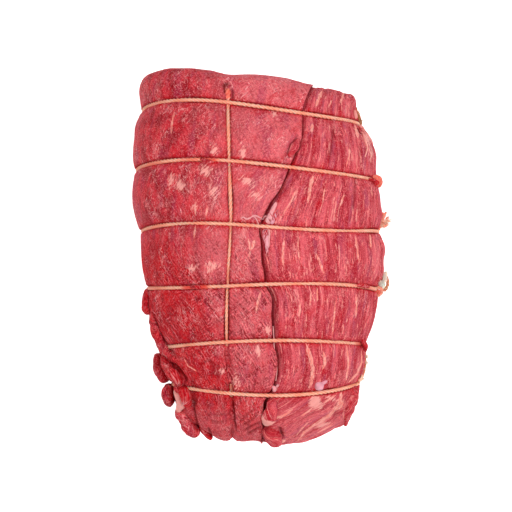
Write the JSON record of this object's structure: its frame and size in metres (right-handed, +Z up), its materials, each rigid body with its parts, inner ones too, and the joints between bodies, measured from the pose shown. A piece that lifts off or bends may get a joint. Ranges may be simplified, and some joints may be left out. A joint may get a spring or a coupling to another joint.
{
  "type": "tied beef roast",
  "caption": "Raw beef roast, rolled and tied crosswise and lengthwise with butcher's twine, lying on its side.",
  "frame": {"origin": "middle of the base, on the surface that the roast lies on", "axes": "+Z up, +Y along the roast towards its blunt cut end, +X towards the side with the knots"},
  "size_m": [0.1228, 0.1673, 0.0945],
  "materials": {
    "meat": "moist raw beef, dark pink-red, with pale fat streaks",
    "twine": "twisted cotton twine stained orange-pink"
  },
  "bodies": {
    "root": {"meat": "meat", "twine_lengthwise": "twine", "twine_tie_1": "twine", "twine_tie_2": "twine", "twine_tie_3": "twine", "twine_tie_4": "twine", "twine_tie_5": "twine", "twine_tie_6": "twine"}
  },
  "joints": []
}
